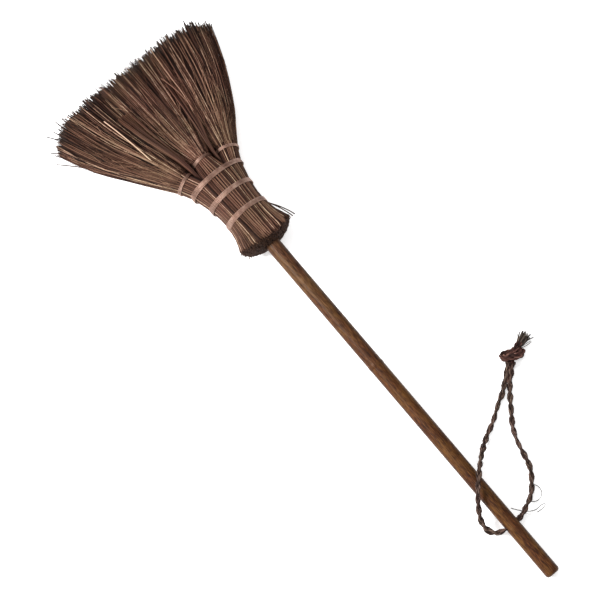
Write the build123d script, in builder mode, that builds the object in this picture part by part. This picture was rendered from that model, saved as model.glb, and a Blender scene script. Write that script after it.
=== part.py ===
"""Palm-fibre hand broom: a bamboo handle, three wire-bound fibre bundles and a hanging loop.

Millimetres, +Z up.  The broom lies on the plane Z = 0 with its long axis along X: the fan's
tips point to -X and the handle's free end to +X.  The origin is on that plane, under the
middle of the broom's box.  Left and right are those of a person holding the handle and
looking along it at the fan, so the right side is +Y.
"""
import os
from collections import namedtuple
from math import cos, pi, radians, sin, tan

from build123d import *

os.makedirs("parts", exist_ok=True)

# ------------------------------------------------------------------ driving dimensions
# Handle: a thin bamboo culm, its free end closed by a node.
free_end_x = 323.0
handle_length = 491.0           # from the free end to the end buried in the fibre
handle_radius = 7.2             # the true cylinder at the free end
handle_root_radius = 7.6        # where it enters the fibre
handle_slope = 2.34             # degrees, the head end lies higher than the free end
end_rounding = 3.2
end_cylinder = 55.0             # how far the true cylinder runs from the free end
root_cylinder = 92.0            # the buried stretch that doesn't taper
culm_bore_radius = 3.4
end_wall = 7.0                  # thickness of the node that closes the free end
septum = 4.0                    # thickness of the wall across the middle node
node_distance = 253.0           # middle node, from the free end
node_half_width = 3.0
node_height = 0.3

# Loop hole, bored across the handle.
loop_hole_distance = 58.5       # from the free end
loop_hole_radius = 3.3

# Peg that keeps the handle in the head.
peg_x = -133.0
peg_radius = 1.5
peg_length = 38.0
peg_chamfer = 0.4
cross_cut = 30.0                # length of the cutters that cross the handle

# Copper wire.
wire = 1.1                      # diameter
wire_pitch = 1.04               # turns lie tight against each other
wire_sink = 0.25                # how deep the wire presses into the fibre
band_turns = 5
tie_turns = 3
band_lean = 3.0                 # degrees, the bands' tops lean towards the fan

# Head: one section of fibre, centred at (x, y, z) and facing `turn` degrees off the -X
# direction, towards +Y.
Section = namedtuple("Section", "x y z turn half_width half_height")

neck_sections = [
    Section(-80.0, 0.0, 24.4, 0.0, 35.0, 22.5),
    Section(-94.0, 0.0, 24.0, 0.0, 30.0, 20.6),
    Section(-108.0, 0.0, 23.6, 0.0, 25.0, 19.3),
    Section(-121.0, 0.0, 23.2, 0.0, 22.8, 19.0),
    Section(-144.5, 0.0, 22.6, 0.0, 24.6, 19.8),
    Section(-166.0, 0.0, 22.0, 0.0, 30.2, 20.6),
    Section(-173.0, 0.0, 21.8, 0.0, 32.5, 19.0),
]
right_sections = [
    Section(-168.0, 22.0, 21.8, 10.0, 9.0, 14.5),
    Section(-184.0, 26.8, 20.8, 20.0, 11.2, 14.0),
    Section(-205.0, 33.8, 18.8, 19.0, 17.6, 14.8),
    Section(-225.0, 40.8, 17.2, 18.0, 23.2, 15.2),
    Section(-268.0, 53.4, 15.6, 15.0, 32.0, 14.6),
    Section(-315.5, 64.4, 13.6, 10.0, 40.2, 13.2),
]
middle_sections = [
    Section(-168.0, 0.0, 22.4, 0.0, 10.6, 17.0),
    Section(-189.5, 0.0, 21.6, 0.0, 11.2, 15.6),
    Section(-207.0, 0.0, 19.6, 0.0, 18.0, 15.8),
    Section(-229.0, 0.0, 17.0, 0.0, 25.0, 15.7),
    Section(-272.0, 0.0, 15.2, 0.0, 33.0, 14.8),
    Section(-323.2, 0.0, 13.4, 0.0, 40.0, 13.2),
]
left_sections = [
    Section(-168.0, -22.0, 21.8, -10.0, 9.0, 14.5),
    Section(-183.0, -26.0, 20.4, -20.0, 11.0, 13.6),
    Section(-204.0, -33.8, 18.4, -22.0, 16.8, 14.6),
    Section(-224.0, -41.4, 16.8, -23.0, 22.0, 15.0),
    Section(-263.0, -56.0, 15.4, -24.0, 31.5, 14.6),
    Section(-311.0, -66.4, 14.2, -16.0, 39.3, 13.2),
]
tie_index = 1                   # the bundles' section that the tie holds
band_indices = (5, 4, 3)        # the neck's sections that the bands hold, from the fan on

# The butt is trimmed to a dome centred on the broom's axis.
dome_radius = 43.0
dome_apex_x = -83.5
dome_z = 24.0
dome_reach_x = -174.0           # beyond the neck's last section

# Upright walls between neighbouring bundles: in the neck and in the fan.
neck_wall_y = 9.6               # half the middle bundle's width at neck_wall_x
neck_wall_x = -90.0
neck_wall_angle = 2.6           # degrees off the X axis
fan_wall_y = 14.0
fan_wall_x = -186.0
fan_wall_angle = 8.3
bundle_gap = 0.15               # each wall's clearance, on either side of it

# Hanging loop: a limp two-strand rope, tied in a knot with frayed ends.
rope_radius = 2.3
bend_share = 0.45               # share of the shorter run that a bend may use up
loop_route = [                  # from the knot round through the hole and back to the knot
    (144.4, 101.6, 4.6),
    (152.0, 91.0, 3.2),
    (163.0, 79.0, 2.5),
    (170.0, 65.5, 2.5),
    (178.5, 53.5, 2.5),
    (183.5, 42.5, 2.7),
    (190.0, 31.5, 5.2),
    (198.0, 20.0, 14.0),
    (207.5, 8.0, 26.4),
    (221.0, -6.0, 26.4),
    (235.0, -16.0, 14.5),
    (246.5, -21.2, 9.6),
    (257.0, -20.3, 9.0),
    (264.5, -12.8, 9.45),
    (264.5, 12.0, 9.45),
    (259.5, 22.5, 6.6),
    (254.5, 33.5, 3.2),
    (245.0, 42.5, 2.5),
    (234.0, 50.5, 2.6),
    (220.5, 54.0, 2.5),
    (207.0, 57.0, 2.6),
    (195.0, 62.5, 2.5),
    (184.0, 70.5, 2.6),
    (174.0, 78.0, 2.5),
    (163.0, 86.8, 2.6),
    (155.2, 95.5, 3.2),
    (147.5, 104.5, 4.8),
]
knot_centre = (142.2, 108.4, 6.4)
knot_turn = 50.5                # degrees from +X to the knot's long side
knot_length = 25.0
knot_width = 16.4
knot_half_height = 6.2
knot_rounding = 5.0
ends_root = (140.6, 116.6, 6.3)
ends_tip = (135.2, 130.4, 6.0)
ends_root_radius = 3.4
ends_tip_radius = 5.6

# ------------------------------------------------------------------ shared geometry
slope = radians(handle_slope)
free_end_z = handle_radius * cos(slope) - end_rounding * sin(slope)
free_end = (free_end_x, 0, free_end_z)
to_head = (-cos(slope), 0, sin(slope))


def on_handle(x):
    """Point of the handle's axis at this x."""
    return (x, 0, free_end_z + (free_end_x - x) * tan(slope))


def section_plane(section):
    """Upright plane of a fibre section: its x axis points to +Y, its z axis to the tips."""
    turn = radians(section.turn)
    return Plane(
        origin=(section.x, section.y, section.z),
        x_dir=(sin(turn), cos(turn), 0),
        z_dir=(-cos(turn), sin(turn), 0),
    )


def wall_plane(x, y, angle, side):
    """Upright wall through (x, y), mirrored to -Y where side is -1.  Its normal points out."""
    lean = radians(angle)
    return Plane(
        origin=(x, side * y, 0),
        x_dir=(0, 0, 1),
        z_dir=(sin(lean), side * cos(lean), 0),
    )


def lofted(sections):
    """Solid through a row of elliptical fibre sections."""
    with BuildPart() as blank:
        for section in sections:
            with BuildSketch(section_plane(section)):
                Ellipse(section.half_width, section.half_height)
        loft()
    return blank.part


def wound_wire(plane, half_width, half_height, turns):
    """Tight turns of wire round an elliptical section that lies in the plane."""
    seat = wire / 2 - wire_sink
    with BuildPart() as winding:
        with BuildLine(plane) as path:
            EllipticalCenterArc((0, 0), half_width + seat, half_height + seat, 0, arc_size=360)
        start = path.line @ 0
        with BuildSketch(Plane(origin=start, x_dir=plane.z_dir, z_dir=path.line % 0)):
            with GridLocations(wire_pitch, 1, turns, 1):
                Circle(wire / 2)
        sweep()
    return winding.part


# ------------------------------------------------------------------ handle
profile_plane = Plane(origin=free_end, x_dir=to_head, z_dir=(0, 1, 0))
taper_start = end_cylinder
taper_end = handle_length - root_cylinder
taper_rate = (handle_root_radius - handle_radius) / (taper_end - taper_start)


def radius_at(distance):
    """Radius of the tapering stretch at a distance from the free end."""
    return handle_radius + taper_rate * (distance - taper_start)


node_start = node_distance - node_half_width
node_end = node_distance + node_half_width

with BuildPart() as handle:
    with BuildSketch(profile_plane):
        with BuildLine():
            Line((0, 0), (0, handle_radius - end_rounding))
            RadiusArc(
                (0, handle_radius - end_rounding),
                (end_rounding, handle_radius),
                end_rounding,
            )
            Line((end_rounding, handle_radius), (taper_start, handle_radius))
            Line((taper_start, handle_radius), (node_start, radius_at(node_start)))
            ThreePointArc(
                (node_start, radius_at(node_start)),
                (node_distance, radius_at(node_distance) + node_height),
                (node_end, radius_at(node_end)),
            )
            Line((node_end, radius_at(node_end)), (taper_end, handle_root_radius))
            Line((taper_end, handle_root_radius), (handle_length, handle_root_radius))
            Line((handle_length, handle_root_radius), (handle_length, 0))
            Line((handle_length, 0), (0, 0))
        make_face()
    revolve(axis=Axis(free_end, to_head))
    # the culm's two hollow internodes
    with BuildSketch(profile_plane):
        with BuildLine():
            Polyline(
                (end_wall, 0),
                (end_wall, culm_bore_radius),
                (node_distance - septum / 2, culm_bore_radius),
                (node_distance - septum / 2, 0),
                close=True,
            )
        make_face()
        with BuildLine():
            Polyline(
                (node_distance + septum / 2, 0),
                (node_distance + septum / 2, culm_bore_radius),
                (handle_length, culm_bore_radius),
                (handle_length, 0),
                close=True,
            )
        make_face()
    revolve(axis=Axis(free_end, to_head), mode=Mode.SUBTRACT)
    with Locations(on_handle(free_end_x - loop_hole_distance)):
        Cylinder(loop_hole_radius, cross_cut, rotation=(90, 0, 0), mode=Mode.SUBTRACT)
    with Locations(on_handle(peg_x)):
        Cylinder(peg_radius, cross_cut, rotation=(90, 0, 0), mode=Mode.SUBTRACT)
handle.part.label = "handle"
export_step(handle.part, "parts/handle.step")

with BuildPart() as handle_peg:
    with Locations(on_handle(peg_x)):
        Cylinder(peg_radius, peg_length, rotation=(90, 0, 0))
    chamfer(handle_peg.edges().filter_by(GeomType.CIRCLE), peg_chamfer)
handle_peg.part.label = "handle_peg"
export_step(handle_peg.part, "parts/handle_peg.step")

# ------------------------------------------------------------------ fibre bundles
# The neck's whole oval, with its butt trimmed to a dome.
with BuildPart() as neck:
    add(lofted(neck_sections))
    with BuildSketch(Plane.XZ):
        with BuildLine():
            Polyline(
                (dome_apex_x, dome_z),
                (dome_reach_x, dome_z),
                (dome_reach_x, dome_z + dome_radius),
                (dome_apex_x - dome_radius, dome_z + dome_radius),
            )
            RadiusArc(
                (dome_apex_x - dome_radius, dome_z + dome_radius),
                (dome_apex_x, dome_z),
                dome_radius,
            )
        make_face()
    revolve(axis=Axis((0, 0, dome_z), (1, 0, 0)), mode=Mode.INTERSECT)


def bundle(fan_sections, sides):
    """One bundle: its share of the neck and its own fan, cut out round handle and peg.

    sides lists the walls that bound it, as (side, part to keep).
    """
    with BuildPart() as share:
        add(neck.part)
        for side, kept in sides:
            wall = wall_plane(neck_wall_x, neck_wall_y, neck_wall_angle, side)
            shift = bundle_gap if kept == Keep.TOP else -bundle_gap
            split(bisect_by=wall.offset(shift), keep=kept)
    with BuildPart() as fan:
        add(lofted(fan_sections))
        for side, kept in sides:
            wall = wall_plane(fan_wall_x, fan_wall_y, fan_wall_angle, side)
            shift = bundle_gap if kept == Keep.TOP else -bundle_gap
            split(bisect_by=wall.offset(shift), keep=kept)
    with BuildPart() as whole:
        add(share.part)
        add(fan.part)
        with BuildSketch(Plane(origin=free_end, z_dir=to_head)):
            Circle(handle_root_radius)
        extrude(amount=handle_length, mode=Mode.SUBTRACT)
        with Locations(on_handle(peg_x)):
            Cylinder(peg_radius, peg_length, rotation=(90, 0, 0), mode=Mode.SUBTRACT)
    return whole.part


bundles = {
    "right": (right_sections, [(1, Keep.TOP)]),
    "middle": (middle_sections, [(1, Keep.BOTTOM), (-1, Keep.BOTTOM)]),
    "left": (left_sections, [(-1, Keep.TOP)]),
}
for name, (sections, sides) in bundles.items():
    solid = bundle(sections, sides)
    solid.label = f"bundle_{name}"
    export_step(solid, f"parts/bundle_{name}.step")

# ------------------------------------------------------------------ copper wire
for name, (sections, _) in bundles.items():
    held = sections[tie_index]
    tie = wound_wire(section_plane(held), held.half_width, held.half_height, tie_turns)
    tie.label = f"tie_{name}"
    export_step(tie, f"parts/tie_{name}.step")

lean = radians(band_lean)
for number, index in enumerate(band_indices, start=1):
    held = neck_sections[index]
    band_plane = Plane(
        origin=(held.x, held.y, held.z),
        x_dir=(0, 1, 0),
        z_dir=(-cos(lean), 0, -sin(lean)),
    )
    band = wound_wire(band_plane, held.half_width, held.half_height, band_turns)
    band.label = f"band_{number}"
    export_step(band, f"parts/band_{number}.step")

# ------------------------------------------------------------------ hanging loop


def corner_radii(points):
    """Radius of the tangent arc at each corner, from the runs that meet there."""
    radii = []
    for before, corner, after in zip(points, points[1:], points[2:]):
        run_in = Vector(corner) - Vector(before)
        run_out = Vector(after) - Vector(corner)
        half_turn = radians(run_in.get_angle(run_out) / 2)
        radii.append(bend_share * min(run_in.length, run_out.length) / tan(half_turn))
    return radii


loop_radii = corner_radii(loop_route)
print("loop corner radii:", [round(radius, 1) for radius in loop_radii])

with BuildPart() as loop_rope:
    with BuildLine() as rope_path:
        FilletPolyline(*loop_route, radius=loop_radii)
    with BuildSketch(Plane(origin=rope_path.line @ 0, z_dir=rope_path.line % 0)):
        Circle(rope_radius)
    sweep()
rope_length = sum(edge.length for edge in rope_path.edges())
tube_volume = pi * rope_radius**2 * rope_length
print("loop length:", round(rope_length, 1))
print("loop volume over section times length:", round(loop_rope.part.volume / tube_volume, 4))
loop_rope.part.label = "loop_rope"
export_step(loop_rope.part, "parts/loop_rope.step")

knot_side = (cos(radians(knot_turn)), sin(radians(knot_turn)), 0)
with BuildPart() as loop_knot:
    with BuildSketch(Plane(origin=knot_centre, x_dir=knot_side, z_dir=(0, 0, 1))):
        SlotOverall(knot_length, knot_width)
    extrude(amount=knot_half_height, both=True)
    flat_faces = loop_knot.faces().filter_by(Axis.Z)
    fillet(flat_faces.edges(), knot_rounding)
loop_knot.part.label = "loop_knot"
export_step(loop_knot.part, "parts/loop_knot.step")

ends_direction = Vector(ends_tip) - Vector(ends_root)
with BuildPart() as loop_ends:
    with BuildSketch(Plane(origin=ends_root, z_dir=ends_direction)):
        Circle(ends_root_radius)
    with BuildSketch(Plane(origin=ends_tip, z_dir=ends_direction)):
        Circle(ends_tip_radius)
    loft()
loop_ends.part.label = "loop_ends"
export_step(loop_ends.part, "parts/loop_ends.step")
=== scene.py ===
"""Looks of the palm-fibre hand broom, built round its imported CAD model.

Metres, in the CAD model's frame: the broom lies on Z = 0 with its long axis along X, the
fan's tips to -X and the handle's free end to +X.  The right side is +Y.
"""
import math
from collections import namedtuple

import bpy
import numpy as np
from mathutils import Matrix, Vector


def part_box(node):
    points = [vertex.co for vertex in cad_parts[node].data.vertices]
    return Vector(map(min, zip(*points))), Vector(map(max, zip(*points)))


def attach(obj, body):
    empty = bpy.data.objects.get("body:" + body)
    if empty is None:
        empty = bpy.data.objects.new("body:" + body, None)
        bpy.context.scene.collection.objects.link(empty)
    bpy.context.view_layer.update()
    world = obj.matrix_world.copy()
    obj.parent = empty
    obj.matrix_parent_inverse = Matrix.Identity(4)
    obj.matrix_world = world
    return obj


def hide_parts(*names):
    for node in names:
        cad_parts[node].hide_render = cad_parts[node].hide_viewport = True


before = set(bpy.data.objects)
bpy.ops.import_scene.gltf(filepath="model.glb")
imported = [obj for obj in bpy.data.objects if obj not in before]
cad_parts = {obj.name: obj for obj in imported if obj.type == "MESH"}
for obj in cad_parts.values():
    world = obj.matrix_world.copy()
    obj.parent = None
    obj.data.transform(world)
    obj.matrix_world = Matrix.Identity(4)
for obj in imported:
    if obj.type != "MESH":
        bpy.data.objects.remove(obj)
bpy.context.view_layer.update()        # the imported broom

chance = np.random.default_rng(20)
UP = np.array([0.0, 0.0, 1.0])

# ------------------------------------------------------------------ camera
camera_heading = math.radians(50.45)        # anticlockwise from +Y
camera_elevation = math.radians(73)
camera_distance = 2.0
camera_target = Vector((-0.0238, -0.0148, 0.020))
camera_lens = 127.1

heading = Vector((-math.sin(camera_heading), math.cos(camera_heading), 0))
view_right = Vector((math.cos(camera_heading), math.sin(camera_heading), 0))
look = heading * math.cos(camera_elevation) - Vector(UP) * math.sin(camera_elevation)
camera = bpy.data.objects.new("camera", bpy.data.cameras.new("camera"))
bpy.context.scene.collection.objects.link(camera)
camera.data.lens = camera_lens
camera.data.sensor_width = 36
camera.location = camera_target - look * camera_distance
camera.rotation_euler = look.to_track_quat("-Z", "Y").to_euler()
bpy.context.scene.camera = camera
bpy.context.scene.view_settings.view_transform = "Standard"


# ------------------------------------------------------------------ many fibres as one mesh
def unit(vectors):
    """The same directions, one long."""
    return vectors / np.linalg.norm(vectors, axis=-1, keepdims=True)


def across(paths):
    """Two directions across each path at each point, level and upright."""
    along = unit(np.gradient(paths, axis=-2))
    level = unit(np.cross(along, UP))
    return level, np.cross(level, along)


def carried(line):
    """Two directions across one line, turning as little as they can along it."""
    along = unit(np.gradient(line, axis=0))
    first = np.empty_like(line)
    first[0] = unit(np.cross(along[0], UP))
    for i in range(1, len(line)):
        first[i] = unit(first[i - 1] - along[i] * (first[i - 1] @ along[i]))
    return first, np.cross(along, first)


def smooth_line(route, step):
    """Points about step apart on the NURBS curve that the route controls."""
    curve = bpy.data.curves.new("route", "CURVE")
    curve.dimensions = "3D"
    spline = curve.splines.new("NURBS")
    spline.points.add(len(route) - 1)
    for point, place in zip(spline.points, route):
        point.co = (*place, 1)
    spline.order_u = 3
    spline.use_endpoint_u = True
    spline.resolution_u = 24
    holder = bpy.data.objects.new("route", curve)
    mesh = bpy.data.meshes.new_from_object(holder)
    line = np.array([v.co for v in mesh.vertices])
    bpy.data.meshes.remove(mesh)
    bpy.data.objects.remove(holder)
    bpy.data.curves.remove(curve)
    runs = np.linalg.norm(np.diff(line, axis=0), axis=1)
    distance = np.concatenate([[0], np.cumsum(runs)])
    even = np.linspace(0, distance[-1], round(distance[-1] / step) + 1)
    line = np.stack([np.interp(even, distance, line[:, k]) for k in range(3)], axis=1)
    return line, even


def resampled(route, points):
    """That many points, evenly spaced, on the NURBS curve that the route controls."""
    line, distance = smooth_line(route, 0.0005)
    even = np.linspace(0, distance[-1], points)
    return np.stack([np.interp(even, distance, line[:, k]) for k in range(3)], axis=1)


def on_floor(paths, radii):
    """The same paths, lifted where a fibre would reach below the floor."""
    paths[..., 2] = np.maximum(paths[..., 2], radii + 0.0001)
    return paths


def bake_strips(mesh, fibres, points, sides):
    """One strip of the texture for each fibre, so that a bake keeps each fibre's own colour."""
    columns = max(1, round(math.sqrt(fibres / 60)))
    rows = math.ceil(fibres / columns)
    number = np.arange(fibres)
    left = (number % columns + 0.02) / columns
    low = (number // columns + 0.05) / rows
    step = 0.96 / columns / (points - 1)
    height = 0.9 / rows / sides
    i, j, s = np.meshgrid(number, np.arange(points - 1), np.arange(sides), indexing="ij")
    u = left[i] + j * step
    v = low[i] + s * height
    quads = np.stack([u, v, u + step, v, u + step, v + height, u, v + height], axis=-1)
    turn = np.arange(sides) * 2 * math.pi / sides
    cap = 0.45 * np.stack([np.cos(turn), np.sin(turn)], axis=-1)
    caps = []
    for at in (left + step / 2, left + 0.96 / columns - step / 2):
        caps.append(np.stack([at, low + 0.45 / rows], axis=-1)[:, None]
                    + cap * [step, 0.9 / rows])
    flat = np.concatenate([quads.ravel(), np.stack(caps, axis=1).ravel()])
    layer = mesh.uv_layers.new(name="OFBake")
    layer.data.foreach_set("uv", flat.astype(np.float32))


def fibre_mesh(name, paths, radii, tones, sides=4, along=None):
    """A mesh of round fibres. paths is (fibres, points, 3) and radii (fibres, points)."""
    fibres, points = paths.shape[:2]
    level, upright = across(paths)
    turn = (np.arange(sides) + 0.5) * 2 * math.pi / sides
    ring = (level[:, :, None] * np.cos(turn)[:, None]
            + upright[:, :, None] * np.sin(turn)[:, None])
    return ringed_mesh(name, paths, ring, radii, tones, along)


def ringed_mesh(name, paths, ring, radii, tones, along=None):
    """The mesh of fibre_mesh, with each ring's own directions."""
    fibres, points, sides = ring.shape[:3]
    places = paths[:, :, None] + ring * radii[:, :, None, None]
    i, j, s = np.meshgrid(np.arange(fibres), np.arange(points - 1), np.arange(sides),
                          indexing="ij")
    after = (s + 1) % sides
    row = (i * points + j) * sides
    quads = np.stack([row + s, row + sides + s, row + sides + after, row + after], axis=-1)
    first = np.arange(fibres)[:, None] * points * sides
    start = first + np.arange(sides)
    end = first + (points - 1) * sides + np.arange(sides)[::-1]
    corners = np.concatenate([quads.ravel(), np.stack([start, end], axis=1).ravel()])
    n_quads, n_caps = fibres * (points - 1) * sides, 2 * fibres
    loop_start = np.concatenate([np.arange(n_quads) * 4,
                                 n_quads * 4 + np.arange(n_caps) * sides])
    mesh = bpy.data.meshes.new(name)
    mesh.vertices.add(fibres * points * sides)
    mesh.vertices.foreach_set("co", places.astype(np.float32).ravel())
    mesh.loops.add(len(corners))
    mesh.loops.foreach_set("vertex_index", corners.astype(np.int32))
    mesh.polygons.add(n_quads + n_caps)
    mesh.polygons.foreach_set("loop_start", loop_start.astype(np.int32))
    mesh.update(calc_edges=True)
    smooth_faces = np.concatenate([np.ones(n_quads, bool), np.zeros(n_caps, bool)])
    mesh.polygons.foreach_set("use_smooth", smooth_faces)
    if along is None:
        along = np.broadcast_to(np.linspace(0, 1, points), (fibres, points))
    for label, values in (("tone", np.broadcast_to(tones[:, None], (fibres, points))),
                          ("along", along)):
        attribute = mesh.attributes.new(label, "FLOAT", "POINT")
        spread = np.broadcast_to(values[:, :, None], (fibres, points, sides))
        attribute.data.foreach_set("value", spread.astype(np.float32).ravel())
    bake_strips(mesh, fibres, points, sides)
    mesh.validate()
    return mesh


def show(name, mesh, material, body, replaced=()):
    """A piece made of that mesh, which rides on a body and stands for CAD nodes."""
    piece = bpy.data.objects.new(name, mesh)
    bpy.context.scene.collection.objects.link(piece)
    piece.data.materials.append(material)
    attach(piece, body)
    if replaced:
        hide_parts(*replaced)
    return piece


# ------------------------------------------------------------------ materials
def from_srgb(red, green, blue):
    """Linear colour of an 8-bit screen colour."""
    linear = [((c / 255 + 0.055) / 1.055) ** 2.4 if c > 10 else c / 255 / 12.92
              for c in (red, green, blue)]
    return (*linear, 1)


class Nodes:
    """A new material's node tree, with short ways to add nodes and link them."""

    def __init__(self, name, **sockets):
        self.material = bpy.data.materials.new(name)
        self.material.use_nodes = True
        self.tree = self.material.node_tree
        self.shader = self.tree.nodes["Principled BSDF"]
        for socket, value in sockets.items():
            self.shader.inputs[socket.replace("_", " ")].default_value = value

    def add(self, kind, links=None, values=None, **settings):
        node = self.tree.nodes.new("ShaderNode" + kind)
        for setting, value in settings.items():
            setattr(node, setting, value)
        for socket, value in (values or {}).items():
            node.inputs[socket].default_value = value
        for socket, source in (links or {}).items():
            self.tree.links.new(source, node.inputs[socket])
        return node

    def attribute(self, label):
        return self.add("Attribute", attribute_name=label).outputs["Fac"]

    def maths(self, operation, first, second):
        node = self.add("Math", operation=operation)
        for socket, value in zip(node.inputs, (first, second)):
            if isinstance(value, (int, float)):
                socket.default_value = value
            else:
                self.tree.links.new(value, socket)
        return node.outputs[0]

    def ramp(self, factor, stops):
        node = self.add("ValToRGB", {"Fac": factor})
        elements = node.color_ramp.elements
        while len(elements) < len(stops):
            elements.new(0.5)
        for element, (position, colour) in zip(elements, stops):
            element.position = position
            element.color = colour
        return node.outputs["Color"]

    def noise(self, vector, scale, detail=3.0, roughness=0.5):
        node = self.add("TexNoise", {"Vector": vector},
                        {"Scale": scale, "Detail": detail, "Roughness": roughness})
        return node.outputs["Fac"]

    def mixed(self, factor, first, second, blend="MIX"):
        node = self.add("Mix", data_type="RGBA", blend_type=blend)
        for socket, value in zip((node.inputs[0], node.inputs[6], node.inputs[7]),
                                 (factor, first, second)):
            if isinstance(value, (int, float, tuple)):
                socket.default_value = value
            else:
                self.tree.links.new(value, socket)
        return node.outputs[2]

    def finish(self, colour, roughness=None, height=None, depth=0.0, strength=1.0):
        self.tree.links.new(colour, self.shader.inputs["Base Color"])
        if roughness is not None:
            self.tree.links.new(roughness, self.shader.inputs["Roughness"])
        if height is not None:
            bump = self.add("Bump", {"Height": height}, {"Distance": depth, "Strength": strength})
            self.tree.links.new(bump.outputs["Normal"], self.shader.inputs["Normal"])
        return self.material


def fibre_material(name, stops, mottle=0.42, roughness=0.62, butt_shade_and_tip_colours=None):
    """Dry plant fibre: each fibre's own tone on a ramp, with mottles along it. A colour given for
    the butt paints shade on the straws' cut ends there.
    """
    n = Nodes(name, Roughness=roughness, Specular_IOR_Level=0.18)
    tone, along = n.attribute("tone"), n.attribute("along")
    vector = n.add("CombineXYZ", {"X": n.maths("MULTIPLY", along, 44.0),
                                  "Y": n.maths("MULTIPLY", tone, 90.0)}).outputs[0]
    mottles = n.noise(vector, 1.0, detail=4.0, roughness=0.65)
    shift = n.maths("MULTIPLY", n.maths("SUBTRACT", mottles, 0.5), mottle)
    colour = n.ramp(n.maths("ADD", tone, shift), stops)
    if butt_shade_and_tip_colours is not None:
        butt_shade_colour, tip_colour = butt_shade_and_tip_colours
        tip = n.add("MapRange", {"Value": along}, {"From Min": 0.955, "From Max": 1.0,
                                                   "To Max": 0.7}).outputs[0]
        # the straws' cut ends at the butt take the butt colour: painted shade on the trimmed face
        # of the butt
        butt = n.add("MapRange", {"Value": along}, {"From Min": 0.003, "From Max": 0.0,
                                                    "To Max": 0.7}).outputs[0]
        colour = n.mixed(butt, n.mixed(tip, colour, tip_colour), butt_shade_colour)
    place = n.add("TexCoord").outputs["Object"]
    tint = n.ramp(n.noise(place, 24.0, detail=2.0), [(0.38, (1.0, 0.86, 0.84, 1)),
                                                     (0.62, (0.98, 0.97, 0.87, 1))])
    colour = n.mixed(1.0, colour, tint, blend="MULTIPLY")
    grain = n.noise(place, 2600.0, detail=2.0)
    return n.finish(colour, height=grain, depth=0.00012, strength=0.5)


def copper_material():
    """Dull copper with stains."""
    n = Nodes("dull_copper", Metallic=0.6, Roughness=0.40)
    place = n.add("TexCoord").outputs["Object"]
    stain = n.noise(place, 130.0, detail=5.0, roughness=0.6)
    fine = n.noise(place, 1500.0, detail=2.0)
    colour = n.ramp(stain, [(0.3, from_srgb(100, 72, 60)), (0.5, from_srgb(146, 114, 99)),
                            (0.7, from_srgb(182, 152, 136))])
    rough = n.add("MapRange", {"Value": stain}, {"To Min": 0.36, "To Max": 0.58}).outputs[0]
    return n.finish(colour, roughness=rough, height=fine, depth=0.00006, strength=0.4)


def bamboo_material(node_x, head_x, dark_x, slope):
    """Stained bamboo: fine lengthwise grain, paler towards the head, a ring at the node."""
    n = Nodes("stained_bamboo", Roughness=0.42, Specular_IOR_Level=0.1)
    place = n.add("TexCoord").outputs["Object"]
    level = n.add("Mapping", {"Vector": place}, {"Rotation": (0, -slope, 0)}).outputs[0]
    fine_space = n.add("Mapping", {"Vector": level}, {"Scale": (130, 1900, 1900)}).outputs[0]
    broad_space = n.add("Mapping", {"Vector": level}, {"Scale": (7, 330, 330)}).outputs[0]
    blotch_space = n.add("Mapping", {"Vector": level}, {"Scale": (34, 120, 120)}).outputs[0]
    fine = n.noise(fine_space, 1.0, detail=3.0, roughness=0.6)
    broad = n.noise(broad_space, 1.0, detail=2.0)
    blotch = n.noise(blotch_space, 1.0, detail=3.0)
    x = n.add("SeparateXYZ", {"Vector": level}).outputs["X"]
    drift = n.add("MapRange", {"Value": x}, {"From Min": head_x, "From Max": dark_x}).outputs[0]
    value = n.maths("ADD", n.maths("MULTIPLY", fine, 0.68), n.maths("MULTIPLY", broad, 0.12))
    value = n.maths("ADD", value, n.maths("MULTIPLY", blotch, 0.20))
    pale = n.ramp(value, [(0.40, from_srgb(38, 22, 12)), (0.50, from_srgb(78, 52, 33)),
                          (0.60, from_srgb(100, 71, 50))])
    dark = n.ramp(value, [(0.40, from_srgb(33, 16, 7)), (0.50, from_srgb(71, 42, 21)),
                          (0.60, from_srgb(100, 66, 35))])
    colour = n.mixed(drift, pale, dark)
    away = n.maths("ABSOLUTE", n.maths("SUBTRACT", x, node_x), 0.0)
    ring = n.add("MapRange", {"Value": away}, {"From Min": 0.0004, "From Max": 0.0022,
                                               "To Min": 0.25, "To Max": 0.0}).outputs[0]
    colour = n.mixed(ring, colour, from_srgb(40, 22, 13))
    tint = n.ramp(blotch, [(0.42, (1.0, 0.88, 0.86, 1)), (0.56, (0.98, 0.99, 0.82, 1))])
    colour = n.mixed(1.0, colour, tint, blend="MULTIPLY")
    rough = n.add("MapRange", {"Value": fine}, {"To Min": 0.36, "To Max": 0.52}).outputs[0]
    return n.finish(colour, roughness=rough, height=fine, depth=0.00016, strength=0.5)


straw_stops = [(0.0, from_srgb(24, 10, 5)), (0.25, from_srgb(52, 29, 20)),
               (0.5, from_srgb(88, 61, 48)), (0.72, from_srgb(118, 88, 72)),
               (0.88, from_srgb(146, 118, 98)), (1.0, from_srgb(196, 170, 148))]
rope_stops = [(0.0, from_srgb(26, 16, 13)), (0.4, from_srgb(58, 44, 39)),
              (0.7, from_srgb(100, 83, 75)), (1.0, from_srgb(156, 140, 126))]
straw_butt_shade_and_tip_colours = [from_srgb(76, 52, 38), from_srgb(44, 36, 31)]          # at the butt, painted shade on the cut ends, and at the tips
straw_material = fibre_material("palm_straw", straw_stops, butt_shade_and_tip_colours=straw_butt_shade_and_tip_colours)
rope_material = fibre_material("palm_rope", rope_stops, mottle=0.35, roughness=0.7)
ends_stops = [(0.0, from_srgb(38, 32, 28)), (0.5, from_srgb(76, 68, 62)),
              (1.0, from_srgb(122, 114, 104))]
ends_material = fibre_material("frayed_rope", ends_stops, mottle=0.3, roughness=0.7)
knot_stops = [(0.0, from_srgb(24, 12, 10)), (0.4, from_srgb(60, 37, 33)),
              (0.7, from_srgb(98, 70, 63)), (1.0, from_srgb(150, 122, 110))]
knot_material = fibre_material("knotted_rope", knot_stops, mottle=0.35, roughness=0.7)
wire_material = copper_material()

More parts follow.
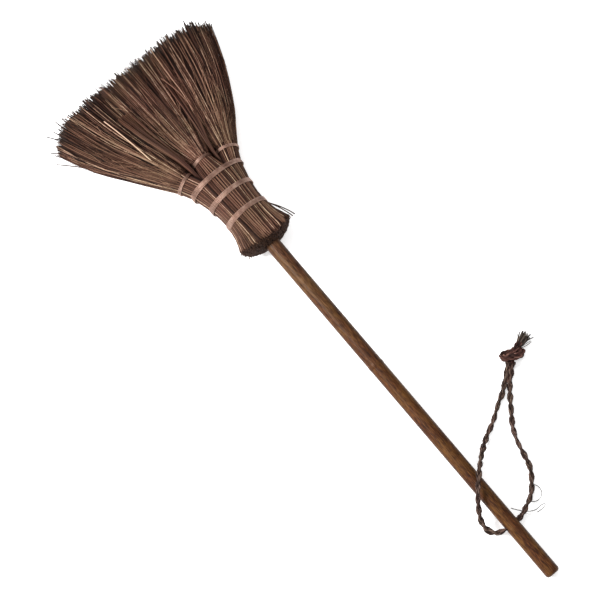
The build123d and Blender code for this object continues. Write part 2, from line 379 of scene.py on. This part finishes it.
# ------------------------------------------------------------------ hanging loop
strand_offset = 0.00125         # strand's centre from the rope's
strand_radius = 0.00145
rope_pitch = 0.0226             # length of one full turn of the two strands
fibre_pitch = 0.016             # and of the fibres in a strand
rope_fibres = 18                # in each strand
rope_fibre_radius = 0.00036
rope_step = 0.0011
rope_route = [                  # the CAD tube's route
    (0.1444, 0.1016, 0.0046),
    (0.1524, 0.0914, 0.0032),
    (0.1630, 0.0790, 0.0025),
    (0.1700, 0.0655, 0.0025),
    (0.1785, 0.0535, 0.0025),
    (0.1835, 0.0425, 0.0027),
    (0.1900, 0.0315, 0.0052),
    (0.1980, 0.0200, 0.0140),
    (0.2075, 0.0080, 0.0264),
    (0.2210, -0.0060, 0.0264),
    (0.2350, -0.0160, 0.0145),
    (0.2465, -0.0212, 0.0096),
    (0.2570, -0.0203, 0.0090),
    (0.2645, -0.0128, 0.00945),
    (0.2645, 0.0120, 0.00945),
    (0.2595, 0.0225, 0.0066),
    (0.2545, 0.0335, 0.0032),
    (0.2450, 0.0425, 0.0025),
    (0.2340, 0.0505, 0.0026),
    (0.2205, 0.0540, 0.0025),
    (0.2070, 0.0570, 0.0026),
    (0.1950, 0.0625, 0.0025),
    (0.1840, 0.0705, 0.0026),
    (0.1740, 0.0780, 0.0025),
    (0.1630, 0.0868, 0.0026),
    (0.1549, 0.0951, 0.0032),
    (0.1475, 0.1045, 0.0048),
]


def waves(distance, lengths, size):
    """A smooth random value along a line: one sine of each wavelength."""
    phases = chance.uniform(0, 2 * math.pi, len(lengths))
    return size * sum(np.sin(2 * math.pi * distance / length + phase)
                      for length, phase in zip(lengths, phases))


def twisted(line, distance, strands, offset, radius, pitch, fibres, thin):
    """Paths of the fibres of a rope whose strands wind round the line."""
    first, second = carried(line)
    paths = []
    for strand in range(strands):
        angle = 2 * math.pi * distance / pitch + 2 * math.pi * strand / strands
        swell = 1 + waves(distance, (0.031, 0.047, 0.083), 0.09)
        centre = line + (offset * swell)[:, None] * (first * np.cos(angle)[:, None]
                                                     + second * np.sin(angle)[:, None])
        for fibre in range(fibres):
            reach = radius * swell * math.sqrt((fibre + 0.5) / fibres)
            own = fibre * 2.4 - 2 * math.pi * distance / fibre_pitch
            own = own + waves(distance, (0.019, 0.033), 0.25)
            paths.append(centre + reach[:, None] * (first * np.cos(own)[:, None]
                                                    + second * np.sin(own)[:, None]))
    paths = np.array(paths)
    radii = thin * chance.uniform(0.75, 1.25, len(paths))[:, None] * np.ones(len(line))
    return paths, radii


rope_line, rope_distance = smooth_line(rope_route, rope_step)
rope_paths, rope_radii = twisted(rope_line, rope_distance, 2, strand_offset, strand_radius,
                                 rope_pitch, rope_fibres, rope_fibre_radius)
rope_mesh = fibre_mesh("loop_rope_strands", on_floor(rope_paths, rope_radii), rope_radii,
                       np.clip(chance.normal(0.52, 0.24, len(rope_paths)), 0, 1))
rope_piece = show("loop_rope_strands", rope_mesh, rope_material, "loop",
                  ["loop_rope"])

# the knot: the doubled rope wound once round itself
knot_low, knot_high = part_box("loop_knot")
knot_centre = np.array((knot_low + knot_high) / 2)
knot_right = np.array(view_right)
knot_ahead = np.array([-knot_right[1], knot_right[0], 0])
knot_route = [                  # to the right, ahead and up of the knot's centre
    (-0.0014, -0.0088, -0.0020),
    (-0.0015, -0.0050, -0.0030),
    (0.0005, 0.0020, -0.0034),
    (0.0060, 0.0058, -0.0016),
    (0.0090, 0.0020, 0.0018),
    (0.0050, -0.0022, 0.0034),
    (-0.0020, -0.0034, 0.0036),
    (-0.0080, -0.0040, 0.0014),
    (-0.0098, -0.0010, -0.0016),
    (-0.0050, 0.0020, -0.0028),
    (0.0000, 0.0022, 0.0016),
    (0.0040, 0.0050, 0.0020),
    (0.0064, 0.0110, 0.0004),
]


def from_knot(right, ahead, up):
    """A place by its distances from the knot's centre."""
    return knot_centre + knot_right * right + knot_ahead * ahead + UP * up


knot_line, knot_distance = smooth_line([tuple(from_knot(*p)) for p in knot_route], 0.0008)
knot_strand_offset, knot_strand_radius = 0.0020, 0.0016
knot_pitch = 0.026
knot_fibres = 11                # in each of the doubled rope's four strands
knot_fibre_radius = 0.00048
knot_paths, knot_radii = twisted(knot_line, knot_distance, 4, knot_strand_offset,
                                 knot_strand_radius, knot_pitch, knot_fibres,
                                 knot_fibre_radius)
# below the knot, untwisted fibres fill the gap between the loop's two legs
filling = resampled([tuple(from_knot(0, -0.004, -0.002)), (0.1460, 0.1030, 0.0044),
                     (0.1536, 0.0933, 0.0034), (0.1588, 0.0876, 0.0028)], len(knot_line))
level, upright = across(filling)
filling_count = 26
place = chance.uniform(-1, 1, (filling_count, 2, 1, 1))
filling = filling + 0.0017 * place[:, 0] * level + 0.0010 * place[:, 1] * upright
filling_radii = np.full(filling.shape[:2], 0.00042)
knot_radii = np.concatenate([knot_radii, filling_radii])
knot_paths = on_floor(np.concatenate([knot_paths, filling]), knot_radii)
knot_mesh = fibre_mesh("loop_knot_strands", knot_paths, knot_radii,
                       np.clip(chance.normal(0.38, 0.2, len(knot_paths)), 0, 1))
knot_piece = show("loop_knot_strands", knot_mesh, knot_material, "loop",
                  ["loop_knot"])


def frayed_ends(count):
    """Fibres of the cut rope ends, bound at the knot and spread at their tips."""
    low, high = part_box("loop_ends")
    root = from_knot(0.0050, 0.0068, 0.0012)
    tip = np.array((low + high) / 2) + knot_right * 0.0046 + knot_ahead * 0.0066
    t = np.linspace(0, 1, 9)[None, :, None]
    axis = unit(tip - root)
    side = unit(np.cross(axis, UP))
    top = np.cross(side, axis)
    angle = chance.uniform(0, 2 * math.pi, count)
    reach = np.sqrt(chance.uniform(0, 1, count))
    spread = chance.normal(1.0, 0.35, count)
    out = side * np.cos(angle)[:, None] + top * (0.75 * np.sin(angle))[:, None]
    width = reach[:, None, None] * (0.0027 + (0.0036 * spread)[:, None, None] * t ** 1.6)
    length = chance.uniform(0.72, 1.08, count)[:, None, None]
    bend = chance.normal(0, 0.0009, (count, 1, 3)) * np.sin(t * 3.0)
    paths = root + (tip - root) * t * length + out[:, None] * width + bend
    paths[..., 2] = np.maximum(paths[..., 2], 0.0005)
    radii = chance.uniform(0.00034, 0.00062, count)[:, None] * np.linspace(1, 0.85, 9)
    return paths, radii


ends_paths, ends_radii = frayed_ends(84)
ends_mesh = fibre_mesh("loop_frayed_ends", ends_paths, ends_radii,
                       np.clip(chance.normal(0.36, 0.22, len(ends_paths)), 0, 1))
ends_piece = show("loop_frayed_ends", ends_mesh, ends_material, "loop",
                  ["loop_ends"])


def rope_fuzz(count, points=7):
    """Short fibres that stand off the rope."""
    at = chance.integers(4, len(rope_line) - 4, count)
    along = unit(np.gradient(rope_line, axis=0))[at] * chance.choice([-1, 1], count)[:, None]
    first, second = (d[at] for d in carried(rope_line))
    angle = chance.uniform(0, 2 * math.pi, count)[:, None]
    out = first * np.cos(angle) + second * np.sin(angle)
    length = chance.gamma(2.0, 0.0014, count).clip(0.0012, 0.009)[:, None, None]
    t = np.linspace(0, 1, points)[None, :, None]
    curl = chance.normal(0, 0.35, (count, 1, 3))
    paths = (rope_line[at][:, None] + out[:, None] * (0.0016 + length * 0.45 * t ** 1.5)
             + along[:, None] * length * t + curl * length * t ** 2)
    paths[..., 2] = np.maximum(paths[..., 2], 0.0003)
    radii = chance.uniform(0.00009, 0.00018, count)[:, None] * np.linspace(1, 0.5, points)
    return paths, radii


fuzz_paths, fuzz_radii = rope_fuzz(230)
fuzz_mesh = fibre_mesh("loop_fuzz", fuzz_paths, fuzz_radii,
                       np.clip(chance.normal(0.5, 0.2, len(fuzz_paths)), 0, 1), sides=3)
fuzz_piece = show("loop_fuzz", fuzz_mesh, rope_material, "loop")

# two long fibres that have come loose near the hole: one is an arc, the other ends in a hook
stray_points = 48
arc_centre, arc_radius = np.array([0.254, 0.036, 0.003]), 0.008
turn = np.radians(np.linspace(155, -65, stray_points))[:, None]
arc = arc_centre + arc_radius * np.hstack([np.cos(turn), np.sin(turn), 0 * turn])
hook = np.array([(253, 8, 17), (260, 15, 7), (268, 26, 4), (267, 35, 4), (269, 39, 5),
                 (271, 32, 5), (270, 27, 4)]) / 1000
stray_paths = np.array([arc, resampled(hook, stray_points)])
stray_mesh = fibre_mesh("loop_stray_fibres", stray_paths, np.full((2, stray_points), 0.00044),
                        np.array([0.15, 0.1]))
stray_piece = show("loop_stray_fibres", stray_mesh, ends_material, "loop")

# ------------------------------------------------------------------ the head's shape
# One section of fibre, centred at (x, y, z) and facing `turn` degrees off -X towards +Y.
Section = namedtuple("Section", "x y z turn half_width half_height")

neck_sections = [
    Section(-0.0800, 0.0, 0.0244, 0, 0.0350, 0.0225),
    Section(-0.0940, 0.0, 0.0240, 0, 0.0300, 0.0206),
    Section(-0.1080, 0.0, 0.0236, 0, 0.0250, 0.0193),
    Section(-0.1210, 0.0, 0.0232, 0, 0.0228, 0.0190),
    Section(-0.1445, 0.0, 0.0226, 0, 0.0246, 0.0198),
    Section(-0.1660, 0.0, 0.0220, 0, 0.0302, 0.0206),
]
fan_sections = {
    "right": [
        Section(-0.1840, 0.0268, 0.0208, 20, 0.0112, 0.0140),
        Section(-0.2050, 0.0338, 0.0188, 19, 0.0176, 0.0148),
        Section(-0.2250, 0.0408, 0.0172, 18, 0.0232, 0.0152),
        Section(-0.2680, 0.0534, 0.0156, 15, 0.0320, 0.0146),
        Section(-0.3125, 0.0630, 0.0136, 10, 0.0382, 0.0132),
    ],
    "middle": [
        Section(-0.1895, 0.0, 0.0216, 0, 0.0112, 0.0156),
        Section(-0.2070, 0.0, 0.0196, 0, 0.0180, 0.0158),
        Section(-0.2290, 0.0, 0.0170, 0, 0.0250, 0.0157),
        Section(-0.2720, 0.0, 0.0152, 0, 0.0330, 0.0148),
        Section(-0.3232, 0.0, 0.0134, 0, 0.0400, 0.0132),
    ],
    "left": [
        Section(-0.1830, -0.0260, 0.0204, -20, 0.0110, 0.0136),
        Section(-0.2040, -0.0338, 0.0184, -22, 0.0168, 0.0146),
        Section(-0.2240, -0.0414, 0.0168, -23, 0.0220, 0.0150),
        Section(-0.2630, -0.0560, 0.0154, -24, 0.0315, 0.0146),
        Section(-0.3040, -0.0664, 0.0136, -18, 0.0395, 0.0132),
    ],
}
dome_radius = 0.043             # the butt is trimmed to a dome
dome_apex_x = -0.0835
dome_z = 0.024
butt_proud = 0.0026             # straws' ends stand this far out of the dome
neck_wall_y = 0.0096            # where the middle bundle's share of the neck ends
neck_wall_x = -0.090
neck_wall_slope = math.tan(math.radians(2.6))
straw_room = 0.0007             # the outermost straws' centres inside the fibre's outline
handle_radius = 0.0080          # the handle's, with a little room
handle_slope = math.radians(2.34)
handle_low, handle_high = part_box("handle")
free_end_z = 0.00706            # height of the handle's axis at its free end

fan_reach = 4.9                 # how far straws may run, past the tips' section 4
fan_steps = 120
waist_wall = 0.42               # the middle bundle's half share of the neck's half width
under_top = 0.94                # the highest level of the straws that others lie on


def smooth(at, knots, values):
    """Values at `at`, on smooth curves through the values at the knots."""
    knots, values = np.asarray(knots, float), np.asarray(values, float)
    slopes = np.gradient(values, knots, axis=0)
    i = np.clip(np.searchsorted(knots, at) - 1, 0, len(knots) - 2)
    width = (knots[i + 1] - knots[i])[..., None]
    t = (at[..., None] - knots[i][..., None]) / width
    before, after = values[i], values[i + 1]
    return (before * (2 * t ** 3 - 3 * t ** 2 + 1) + slopes[i] * width * (t ** 3 - 2 * t ** 2 + t)
            + after * (3 * t ** 2 - 2 * t ** 3) + slopes[i + 1] * width * (t ** 3 - t ** 2))


def share_left_of(k):
    """Share of an oval's area that lies left of k half widths off its centre."""
    return 0.5 + (k * np.sqrt(1 - k * k) + np.arcsin(k)) / math.pi


offsets = np.linspace(-1, 1, 601)
shares = share_left_of(offsets)


def offset_of(share):
    """The inverse of share_left_of."""
    return np.interp(share, shares, offsets)


def in_neck(side, rank, level, x):
    """Places in the neck at x of the straws of a bundle, pressed round the handle.

    rank orders a bundle's straws from left to right, 0 to 1, and level from bottom to top,
    -1 to 1.
    """
    knots = [-s.x for s in neck_sections]
    z, half_width, half_height = smooth(
        -x, knots, [(s.z, s.half_width, s.half_height) for s in neck_sections]).T
    z, half_width, half_height = z.T, half_width.T - straw_room, half_height.T - straw_room
    wall = (neck_wall_y + (neck_wall_x - x) * neck_wall_slope) / half_width
    low = {"left": -np.ones_like(wall), "middle": -wall, "right": wall}[side]
    high = {"left": -wall, "middle": wall, "right": np.ones_like(wall)}[side]
    share = share_left_of(low) + rank * (share_left_of(high) - share_left_of(low))
    k = offset_of(share)
    y = k * half_width
    height = level * half_height * np.sqrt(1 - k * k)
    axis_z = free_end_z + (handle_high.x - x) * math.tan(handle_slope)
    up = z + height - axis_z
    reach = np.hypot(y, up) + 1e-9
    edge = half_width * half_height / np.hypot(half_height * y / reach, half_width * up / reach)
    bore = handle_radius * np.clip((x - handle_low.x) / 0.012, 0, 1)
    pushed = np.sqrt(bore ** 2 + reach ** 2 * (1 - (bore / edge) ** 2).clip(0.05))
    return np.stack([x, y * pushed / reach, axis_z + up * pushed / reach], axis=-1)


def in_fan(side, across_fan, level, at):
    """Places in a bundle's fan: at is 0 at its tie and 4 at its tips."""
    rows = smooth(at, range(len(fan_sections[side])), fan_sections[side])
    x, y, z, turn, half_width, half_height = np.moveaxis(rows, -1, 0)
    turn = np.radians(turn)
    k = across_fan.clip(-0.999, 0.999)
    out = across_fan * (half_width - straw_room)
    up = level * (half_height - straw_room) * np.sqrt(1 - k * k)
    return np.stack([x + np.sin(turn) * out, y + np.cos(turn) * out, z + up], axis=-1)


def butt_x(y, z):
    """Where the butt's dome is, at a distance from the broom's axis."""
    off_axis = np.hypot(y, z - dome_z)
    return dome_apex_x - dome_radius + np.sqrt((dome_radius ** 2 - off_axis ** 2).clip(0))


def trimmed_x(y):
    """Where the broom's tips are cut."""
    return -0.3122 - 0.02 * y + 0.0205 * np.abs((y - 0.003) / 0.1) ** 6


def fan_part(side, rank, level, points, start, loose):
    """Paths through the fan, from the tie out to the tips. Straws lean a little in tufts."""
    count = len(rank)
    grid = np.linspace(start, fan_reach, fan_steps)[None, :]
    grow = (grid.clip(0) / 4) ** 1.1
    k0 = offset_of(rank)
    tuft = ((k0 + 1) * 21 + (level + 1) * 1.49).astype(int)
    lean = chance.normal(0, 0.022, 60)[tuft] + chance.normal(0, loose, count)
    lean = lean + (chance.random(count) < 0.14) * chance.normal(0, 0.15, count)
    lift = chance.normal(0, 0.06, 60)[tuft] + chance.normal(0, 0.11, count)
    bow = chance.normal(0, 0.032, (count, 1)) * np.sin(
        grid * chance.uniform(0.8, 2.2, (count, 1)) + chance.uniform(0, 6, (count, 1)))
    k = k0[:, None] + lean[:, None] * grow + bow * grow ** 0.5
    k = np.where(np.abs(k) > 1, np.sign(k) * (1 + 0.12 * (np.abs(k) - 1)), k)
    up = level[:, None] + lift[:, None] * grow
    up = np.where(np.abs(up) > 1, np.sign(up) * (1 + 0.35 * (np.abs(up) - 1)), up)
    places = in_fan(side, k, up, np.broadcast_to(grid, k.shape))
    # the cut: small tufts stand a little proud of it, and some straws end short of it
    proud = chance.normal(0, 0.0024, 60)[tuft] + chance.normal(0, 0.0022, count)
    cut = trimmed_x(places[..., 1]) + (proud + chance.exponential(0.0034, count))[:, None]
    past = places[..., 0] < cut
    last = np.where(past.any(1), past.argmax(1), fan_steps - 1)
    at = last[:, None] * np.linspace(0, 1, points)[None, :]
    i = np.clip(at.astype(int), 0, fan_steps - 2)
    rows = np.arange(count)[:, None]
    t = (at - i)[..., None]
    return places[rows, i] * (1 - t) + places[rows, i + 1] * t


def spread_out(count, on_top, low, high):
    """Rank and level of each fibre of a bundle: the first `on_top` lie on its surface.

    The bundle reaches from low to high half widths off the centre of the whole oval.
    """
    rank, level = chance.random(count), chance.uniform(-1, 1, count) * under_top
    number = np.arange(on_top)
    even = (number // 2 + chance.uniform(0.2, 0.8, on_top)) / (on_top / 2)
    first, last = math.acos(-low), math.acos(-high)
    k = -np.cos(first + even * (last - first))
    whole = share_left_of(high) - share_left_of(low)
    rank[:on_top] = (share_left_of(k) - share_left_of(low)) / whole
    level[:on_top] = np.where(number % 2, -1, 1) * chance.uniform(0.97, 1.02, on_top)
    return rank, level


def straws(side, count):
    """Whole straws of one bundle, from the butt through the wire to the tips."""
    low, high, on_top = {"left": (-1, -waist_wall, 44), "middle": (-waist_wall, waist_wall, 34),
                         "right": (waist_wall, 1, 44)}[side]
    rank, level = spread_out(count, on_top, low, high)
    guess = in_neck(side, rank, level, np.full(count, -0.090))
    begin = butt_x(guess[:, 1], guess[:, 2]) + butt_proud - chance.exponential(0.0004, count)
    begin = begin + chance.normal(0, 0.0002, count)
    begin[:on_top] += chance.normal(0.0004, 0.0009, on_top)
    stations = np.array([0.0, 0.22, 0.5])[None, :]
    run_in = begin[:, None] + (-0.108 - begin[:, None]) * stations
    fixed = np.broadcast_to([-0.108, -0.121, -0.133, -0.1445, -0.156, -0.166], (count, 6))
    x = np.concatenate([run_in, fixed], axis=1)
    neck = in_neck(side, rank[:, None], level[:, None], x)
    sway = chance.normal(0, 0.00022, (count, x.shape[1], 3)) * [0, 1, 1]
    sway[:, 4:] *= 0.6
    paths = np.concatenate([neck + sway, fan_part(side, rank, level, 11, 0.0, 0.055)], axis=1)
    paths[:, 0] += chance.normal(0, 0.0003, (count, 3)) * [0, 1, 1]
    radii = (chance.uniform(0.00035, 0.00048, count)[:, None]
             * np.interp(np.arange(paths.shape[1]), [0, 9, 19], [1.0, 0.97, 0.76]))
    return paths, radii, rank, level


def splits(side, count):
    """Thinner fibres that split off the straws past the tie."""
    rank, level = spread_out(count, 220, -1, 1)
    paths = fan_part(side, rank, level, 10, 0.25, 0.11)
    radii = chance.uniform(0.00022, 0.00033, count)[:, None] * np.linspace(1, 0.8, 10)
    return paths, radii, rank, level


def share_along(paths):
    """How far along each path each point is, 0 to 1."""
    runs = np.linalg.norm(np.diff(paths, axis=1), axis=2)
    distance = np.concatenate([np.zeros((len(paths), 1)), np.cumsum(runs, axis=1)], axis=1)
    return distance / distance[:, -1:]


def tones_of(rank, level, side, on_top, spread, pale_share):
    """Each straw's tone: paler on the bundle's surface and darker deeper in, a painted shade
    between the straws; neighbours alike, and a few that stand out.
    """
    patch = 0.03 * np.sin(rank * 9 + len(side)) + 0.02 * np.sin(rank * 23 + 1)
    # straws below the surface get darker tones the deeper they lie: painted shade inside the
    # bundle
    outer = np.where(np.abs(level) > under_top, on_top, 0.02 + 0.22 * np.abs(level) ** 3)
    tone = outer + patch + chance.normal(0, spread, len(rank)) * (1 + (np.abs(level) > under_top))
    tone = tone.clip(0.0, 0.92)
    pale = chance.random(len(rank)) < pale_share
    return np.where(pale, chance.uniform(0.70, 0.84, len(rank)), tone)


straws_a_bundle, splits_a_bundle, hairs_a_bundle = 900, 800, 70
for side in ("right", "middle", "left"):
    paths, radii, rank, level = straws(side, straws_a_bundle)
    mesh = fibre_mesh(f"straws_{side}", on_floor(paths, radii), radii,
                      tones_of(rank, level, side, 0.56, 0.12, 0.003), sides=5,
                      along=share_along(paths))
    show(f"straws_{side}", mesh, straw_material, "broom", [f"bundle_{side}"])
    paths, radii, rank, level = splits(side, splits_a_bundle)
    mesh = fibre_mesh(f"split_fibres_{side}", on_floor(paths, radii), radii,
                      tones_of(rank, level, side, 0.50, 0.15, 0.004), sides=3,
                      along=0.4 + 0.6 * share_along(paths))
    show(f"split_fibres_{side}", mesh, straw_material, "broom")

# single straws that lie on the fan or stand out of it: tone, radius, and the fewest points
# that give its bend, in whole millimetres
loose_straws = [
    (0.99, 0.00056, [(-205, -36, 28), (-240, -41, 38), (-280, -48, 31)]),
    (0.86, 0.00042, [(-230, 24, 27), (-248, 28, 36), (-280, 30, 31), (-312, 34, 28)]),
    (0.74, 0.00036, [(-233, 25, 35), (-256, 28, 34), (-280, 22, 32)]),
    (0.20, 0.00050, [(-225, -59, 10), (-260, -84, 8), (-283, -107, 7)]),
    (0.15, 0.00052, [(-250, -68, 10), (-285, -90, 10), (-295, -105, 9)]),
    (0.18, 0.00052, [(-245, -70, 10), (-278, -96, 10), (-291, -103, 9)]),
    (0.12, 0.00054, [(-270, -70, 16), (-290, -85, 16), (-308, -98, 16)]),
    (0.12, 0.00054, [(-278, -70, 16), (-300, -88, 16), (-309, -90, 16)]),
    (0.14, 0.00054, [(-285, -70, 17), (-306, -82, 16), (-316, -82, 16)]),
    (0.15, 0.00056, [(-260, 80, 14), (-286, 87, 12), (-301, 101, 12)]),
    (0.22, 0.00056, [(-118, 22, 25), (-104, 32, 25), (-92, 35, 25)]),
    (0.28, 0.00056, [(-118, 21, 29), (-104, 29, 28), (-91, 32, 27)]),
]
loose_points = 24
paths = np.array([resampled(np.array(route) / 1000, loose_points)
                  for _, _, route in loose_straws])
radii = np.array([radius for _, radius, _ in loose_straws])[:, None] * np.ones(loose_points)
mesh = fibre_mesh("loose_straws", paths, radii, np.array([tone for tone, _, _ in loose_straws]),
                  sides=6, along=np.full(radii.shape, 0.5))
show("loose_straws", mesh, straw_material, "broom")


def beside_ties(count):
    """Straws that leave the neck between two bundles and fill the gap beside their ties."""
    way = np.where(np.arange(count) % 2, 1, -1)
    x = np.array([-0.150, -0.160, -0.168, -0.178, -0.190, -0.203, -0.220, -0.245, -0.275])
    middle = np.array([0.0122, 0.0126, 0.0131, 0.0137, 0.0143, 0.0162, 0.0200, 0.0250, 0.0300])
    spread = np.array([0.0012, 0.0012, 0.0012, 0.0011, 0.0010, 0.0018, 0.0034, 0.0060, 0.0090])
    y = way[:, None] * (middle + chance.uniform(-1, 1, (count, 1)) * spread)
    low, high = 0.0080, np.array([29, 29, 30, 31, 33, 35, 34.5, 31, 28]) / 1000
    z = low + chance.random((count, 1)) * (high - low)
    paths = np.stack([np.broadcast_to(x, y.shape), y, z], axis=-1)
    return paths, np.full(y.shape, 0.00050)


paths, radii = beside_ties(160)
mesh = fibre_mesh("straws_beside_ties", on_floor(paths, radii), radii,
                  chance.uniform(0.15, 0.6, len(paths)), sides=5,
                  along=np.full(radii.shape, 0.5))
show("straws_beside_ties", mesh, straw_material, "broom")


def hairs(side, count, points=16):
    """Fine crinkled fibres that lie on the fan."""
    t = np.linspace(0, 1, points)[None, :]
    begin = chance.uniform(0.4, 3.0, (count, 1))
    at = begin + chance.uniform(0.25, 1.1, (count, 1)) * t
    k = chance.uniform(-0.8, 0.8, (count, 1)) + chance.normal(0, 0.22, (count, 1)) * t
    for bends, size in ((5, 0.03), (11, 0.008)):
        k = k + size * np.sin(bends * t + chance.uniform(0, 6, (count, 1)))
    face = np.where(chance.random((count, 1)) < 0.7, 1.04, -1.0)
    level = face * (1 + 0.02 * np.sin(9 * t + chance.uniform(0, 6, (count, 1))))
    radii = chance.uniform(0.00016, 0.00023, count)[:, None] * np.ones(points)
    return in_fan(side, k, level, at), radii


paths, radii = (np.concatenate(parts) for parts in
                zip(*(hairs(side, hairs_a_bundle) for side in fan_sections)))
mesh = fibre_mesh("fine_fibres", on_floor(paths, radii), radii,
                  chance.uniform(0.4, 0.85, len(paths)), sides=3,
                  along=np.full(radii.shape, 0.5))
show("fine_fibres", mesh, straw_material, "broom")

# ------------------------------------------------------------------ copper wire
wire_radius = 0.00046
wire_pitch = 0.00100
wire_seat = 0.0003              # the wire's centre outside the fibre's outline


def wound(name, centre, side_way, axis, half_width, half_height, turns, spread):
    """One wire wound in tight turns round an oval, its two ends twisted together below."""
    per_turn = 72
    angle = np.linspace(0, 2 * math.pi * turns, turns * per_turn + 1) - math.pi / 2
    travel = (angle + math.pi / 2) / (2 * math.pi)
    turn_number = np.minimum(travel.astype(int), turns - 1)
    apart = (turn_number - (turns - 1) / 2) * spread
    open_out = apart * np.clip(-np.cos(angle), 0, 1) ** 2
    wobble = 0.00006 * np.sin(angle * 3 + turn_number * 1.7)
    shift = (travel - turns / 2) * wire_pitch + open_out + wobble
    out = wire_seat + 0.00005 * np.sin(angle * 5 + turn_number * 2.1)
    up_way = np.cross(axis, side_way)
    line = (np.array(centre) + np.outer((half_width + out) * np.cos(angle), side_way)
            + np.outer((half_height + out) * np.sin(angle), up_way)
            + np.outer(shift, axis))
    # the ends leave the outermost turns and wind round each other along the neck
    t = np.linspace(0, 1, 40)
    tail = []
    for phase, at in ((0, line[0]), (math.pi, line[-1])):
        spin = phase + 2 * math.pi * 3.2 * t
        middle = (line[0] + line[-1]) / 2 + np.outer(t, -axis) * 0.0075 + UP * 0.0006 * t[:, None]
        coil = (np.outer(np.cos(spin), side_way) + np.outer(np.sin(spin), UP)) * 0.00056
        twist = middle + coil
        ease = np.clip(t / 0.15, 0, 1)[:, None]
        tail.append(at * (1 - ease) + twist * ease)
    whole = np.concatenate([tail[0][::-1], line[1:-1], tail[1]])
    first, second = carried(whole)
    around = np.arange(8) * 2 * math.pi / 8
    ring = (first[:, None] * np.cos(around)[:, None] + second[:, None] * np.sin(around)[:, None])
    radii = np.full((1, len(whole)), wire_radius)
    return ringed_mesh(name, whole[None], ring[None], radii, np.array([0.5]))


band_lean = math.radians(3)
for number in (1, 2, 3):
    low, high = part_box(f"band_{number}")
    centre = (low + high) / 2
    section = min(neck_sections, key=lambda s: abs(s.x - centre.x))
    axis = np.array([math.cos(band_lean), 0, math.sin(band_lean)])
    mesh = wound(f"binding_{number}", centre, np.array([0.0, 1.0, 0.0]), axis,
                 section.half_width, section.half_height, 5, 0.00035)
    show(f"binding_{number}", mesh, wire_material, "broom", [f"band_{number}"])
for side, sections in fan_sections.items():
    held = sections[0]
    turn = math.radians(held.turn)
    side_way = np.array([math.sin(turn), math.cos(turn), 0])
    axis = np.array([math.cos(turn), -math.sin(turn), 0])
    mesh = wound(f"tie_wire_{side}", (held.x, held.y, held.z), side_way, axis,
                 held.half_width, held.half_height, 3, 0.0003)
    show(f"tie_wire_{side}", mesh, wire_material, "broom", [f"tie_{side}"])

# ------------------------------------------------------------------ handle
node_x = 0.0702
pale_x, dark_x = -0.085, 0.090   # the stain darkens from one to the other
handle_material = bamboo_material(node_x, pale_x, dark_x, handle_slope)
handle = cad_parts["handle"]
handle.data.materials.clear()
handle.data.materials.append(handle_material)
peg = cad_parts["handle_peg"]
peg_nodes = Nodes("raw_bamboo", Roughness=0.6)
peg_place = peg_nodes.add("TexCoord").outputs["Object"]
peg_space = peg_nodes.add("Mapping", {"Vector": peg_place}, {"Scale": (2400, 60, 2400)}).outputs[0]
peg_grain = peg_nodes.noise(peg_space, 1.0)
peg_colour = peg_nodes.ramp(peg_grain, [(0.35, from_srgb(150, 120, 84)),
                                        (0.65, from_srgb(196, 168, 128))])
peg.data.materials.clear()
peg.data.materials.append(peg_nodes.finish(peg_colour, height=peg_grain, depth=0.0001))

# ------------------------------------------------------------------ floor and light
floor_mesh = bpy.data.meshes.new("floor")
reach = 6.0
floor_mesh.from_pydata([(-reach, -reach, 0), (reach, -reach, 0), (reach, reach, 0),
                        (-reach, reach, 0)], [], [(0, 1, 2, 3)])
floor = bpy.data.objects.new("floor", floor_mesh)
bpy.context.scene.collection.objects.link(floor)
floor_nodes = Nodes("pale_floor", Roughness=0.9, Specular_IOR_Level=0.0)
floor_nodes.shader.inputs["Base Color"].default_value = (0.92, 0.92, 0.92, 1)
floor_nodes.shader.inputs["Emission Color"].default_value = (1, 1, 1, 1)
floor_nodes.shader.inputs["Emission Strength"].default_value = 0.5
floor.data.materials.append(floor_nodes.material)


def soft_light(name, place, size, power):
    """A square panel of light that faces the broom."""
    light = bpy.data.lights.new(name, "AREA")
    light.size = size
    light.energy = power
    lamp = bpy.data.objects.new(name, light)
    bpy.context.scene.collection.objects.link(lamp)
    lamp.location = place
    toward = camera_target - Vector(place)
    lamp.rotation_euler = toward.to_track_quat("-Z", "Y").to_euler()


key_place = camera_target - view_right * 1.5 - heading * 0.3 + Vector(UP) * 1.2
soft_light("key_light", key_place, 0.5, 62)
top_place = camera_target + heading * 0.4 + Vector(UP) * 2.0
soft_light("top_light", top_place, 1.6, 14)
world = bpy.data.worlds.new("studio")
bpy.context.scene.world = world
world.use_nodes = True
world.node_tree.nodes["Background"].inputs["Color"].default_value = (1, 1, 1, 1)
world.node_tree.nodes["Background"].inputs["Strength"].default_value = 0.5
